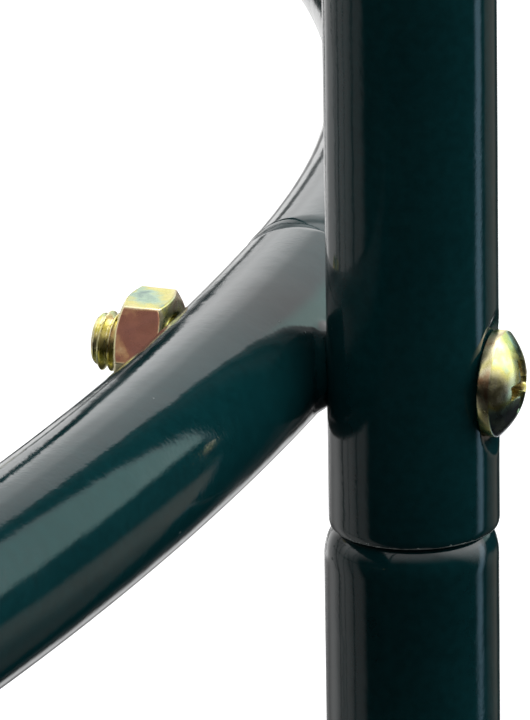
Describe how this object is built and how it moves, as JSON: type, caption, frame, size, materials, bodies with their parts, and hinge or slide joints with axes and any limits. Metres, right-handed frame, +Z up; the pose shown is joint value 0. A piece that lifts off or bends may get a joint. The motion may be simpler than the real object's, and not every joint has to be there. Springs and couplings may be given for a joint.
{
  "type": "trellis arch",
  "caption": "Walk-through garden trellis arch of round powder-coated tube: basket-handle hoops, slip-jointed and through-bolted to horizontal rungs on their outside, on plate feet.",
  "frame": {"origin": "on the ground, in the middle of the passage, midway between the front and rear hoops", "axes": "+X right across the passage, +Y to the rear along the passage, +Z up"},
  "size_m": [1.0594, 1.08, 2.0867],
  "materials": {
    "green_powder_coat": "glossy dark green powder coat on steel tube, slight orange peel",
    "zinc_chromate": "yellow iridescent zinc chromate plating",
    "black_plastic": "satin moulded plastic"
  },
  "bodies": {
    "root": {"crown_rung_1_front": "green_powder_coat", "crown_rung_1_rear": "green_powder_coat", "crown_rung_2_front": "green_powder_coat", "crown_rung_2_rear": "green_powder_coat", "foot_bolts": "zinc_chromate", "front_crown": "green_powder_coat", "front_left_foot": "green_powder_coat", "front_left_lower_leg": "green_powder_coat", "front_left_shoulder": "green_powder_coat", "front_left_upper_leg": "green_powder_coat", "front_right_foot": "green_powder_coat", "front_right_lower_leg": "green_powder_coat", "front_right_shoulder": "green_powder_coat", "front_right_upper_leg": "green_powder_coat", "hex_nuts": "zinc_chromate", "left_rung_1_front": "green_powder_coat", "left_rung_1_rear": "green_powder_coat", "left_rung_2_front": "green_powder_coat", "left_rung_2_rear": "green_powder_coat", "left_rung_3_front": "green_powder_coat", "left_rung_3_rear": "green_powder_coat", "left_rung_4_front": "green_powder_coat", "left_rung_4_rear": "green_powder_coat", "left_rung_5_front": "green_powder_coat", "left_rung_5_rear": "green_powder_coat", "left_shoulder_rung_front": "green_powder_coat", "left_shoulder_rung_rear": "green_powder_coat", "middle_crown": "green_powder_coat", "middle_left_foot": "green_powder_coat", "middle_left_lower_leg": "green_powder_coat", "middle_left_shoulder": "green_powder_coat", "middle_left_upper_leg": "green_powder_coat", "middle_right_foot": "green_powder_coat", "middle_right_lower_leg": "green_powder_coat", "middle_right_shoulder": "green_powder_coat", "middle_right_upper_leg": "green_powder_coat", "rear_crown": "green_powder_coat", "rear_left_foot": "green_powder_coat", "rear_left_lower_leg": "green_powder_coat", "rear_left_shoulder": "green_powder_coat", "rear_left_upper_leg": "green_powder_coat", "rear_right_foot": "green_powder_coat", "rear_right_lower_leg": "green_powder_coat", "rear_right_shoulder": "green_powder_coat", "rear_right_upper_leg": "green_powder_coat", "right_rung_1_front": "green_powder_coat", "right_rung_1_rear": "green_powder_coat", "right_rung_2_front": "green_powder_coat", "right_rung_2_rear": "green_powder_coat", "right_rung_3_front": "green_powder_coat", "right_rung_3_rear": "green_powder_coat", "right_rung_4_front": "green_powder_coat", "right_rung_4_rear": "green_powder_coat", "right_rung_5_front": "green_powder_coat", "right_rung_5_rear": "green_powder_coat", "right_shoulder_rung_front": "green_powder_coat", "right_shoulder_rung_rear": "green_powder_coat", "rung_bolts": "zinc_chromate", "rung_caps": "black_plastic"}
  },
  "joints": []
}
